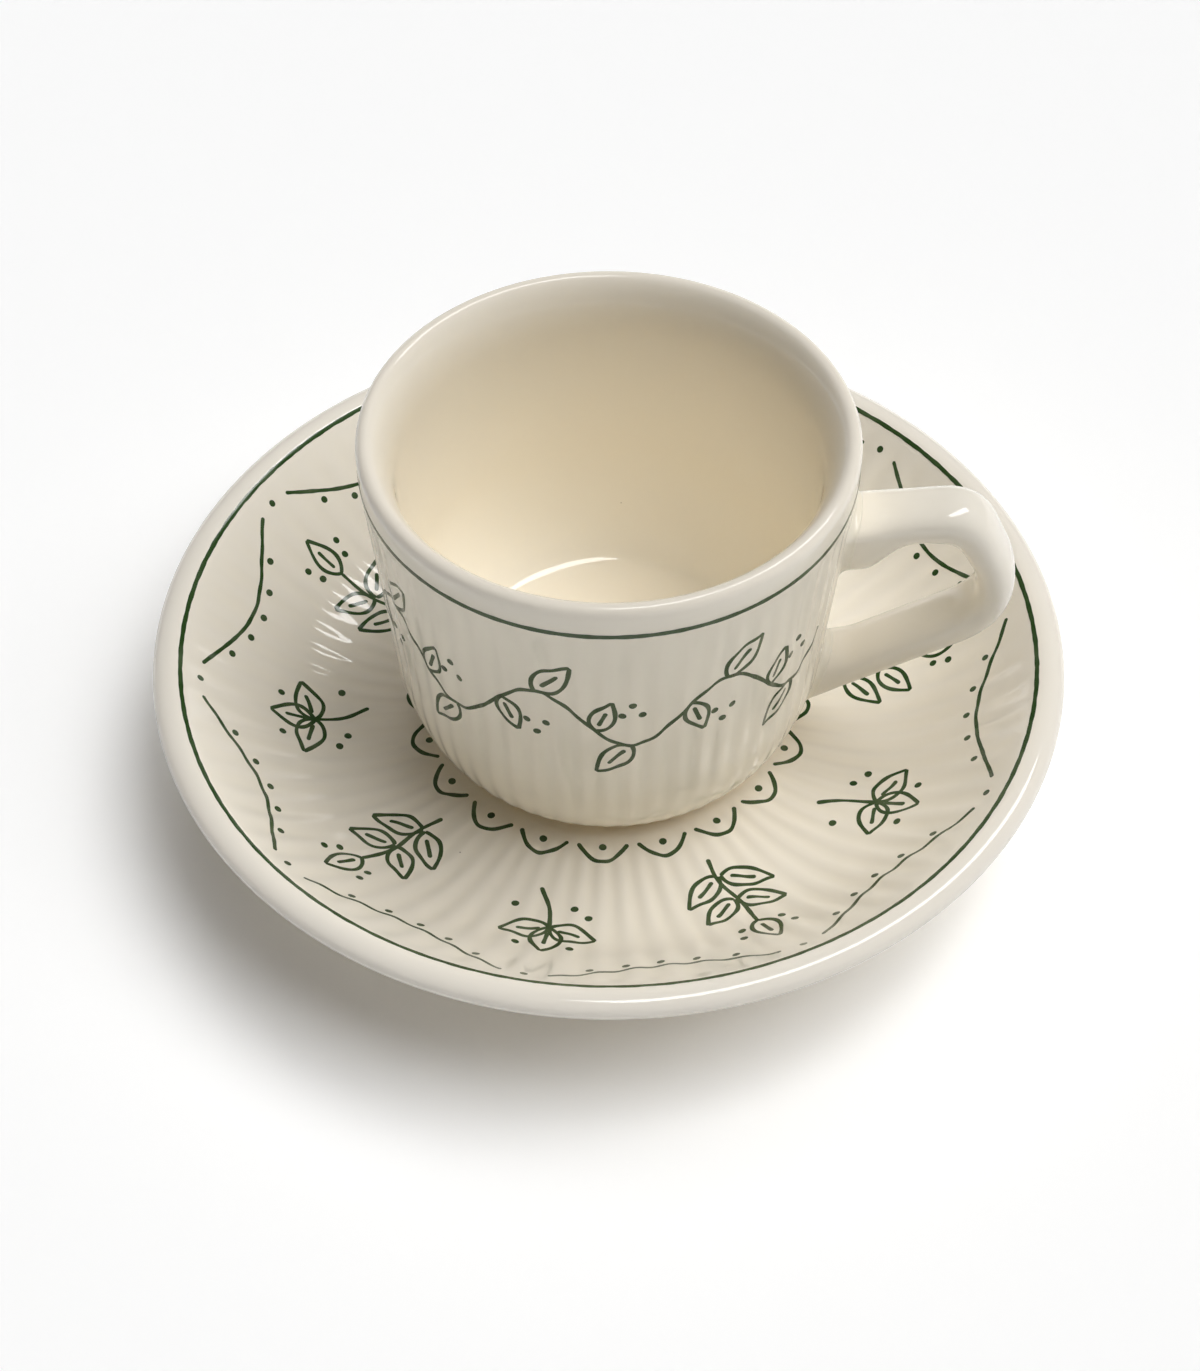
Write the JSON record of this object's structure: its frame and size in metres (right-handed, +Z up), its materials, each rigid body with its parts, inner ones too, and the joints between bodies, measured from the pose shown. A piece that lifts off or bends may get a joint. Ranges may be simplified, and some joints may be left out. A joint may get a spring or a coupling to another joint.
{
  "type": "coffee cup with saucer",
  "caption": "Fluted ivory earthenware coffee cup with a strap handle, standing in the well of its deep fluted saucer, with plain rounded rims.",
  "frame": {"origin": "on the table, on the common axis of cup and saucer", "axes": "+Z up along the axis of cup and saucer, +X from the axis towards the cup's handle"},
  "size_m": [0.152, 0.152, 0.07],
  "materials": {
    "saucer_glaze": "glossy ivory glaze over fluted earthenware",
    "cup_glaze": "glossy ivory glaze over fluted earthenware, smooth inside",
    "handle_glaze": "glossy ivory glaze",
    "slip_glaze": "glossy ivory glaze pooled in the seam"
  },
  "bodies": {
    "saucer": {"saucer": "saucer_glaze"},
    "cup": {"cup_body": "cup_glaze", "handle": "handle_glaze", "upper_handle_slip": "slip_glaze", "lower_handle_slip": "slip_glaze"}
  },
  "joints": [
    {"name": "cup_lift", "type": "slide", "parent": "saucer", "child": "cup", "axis": [0, 0, 1], "range_m": [0, 0.1]}
  ]
}
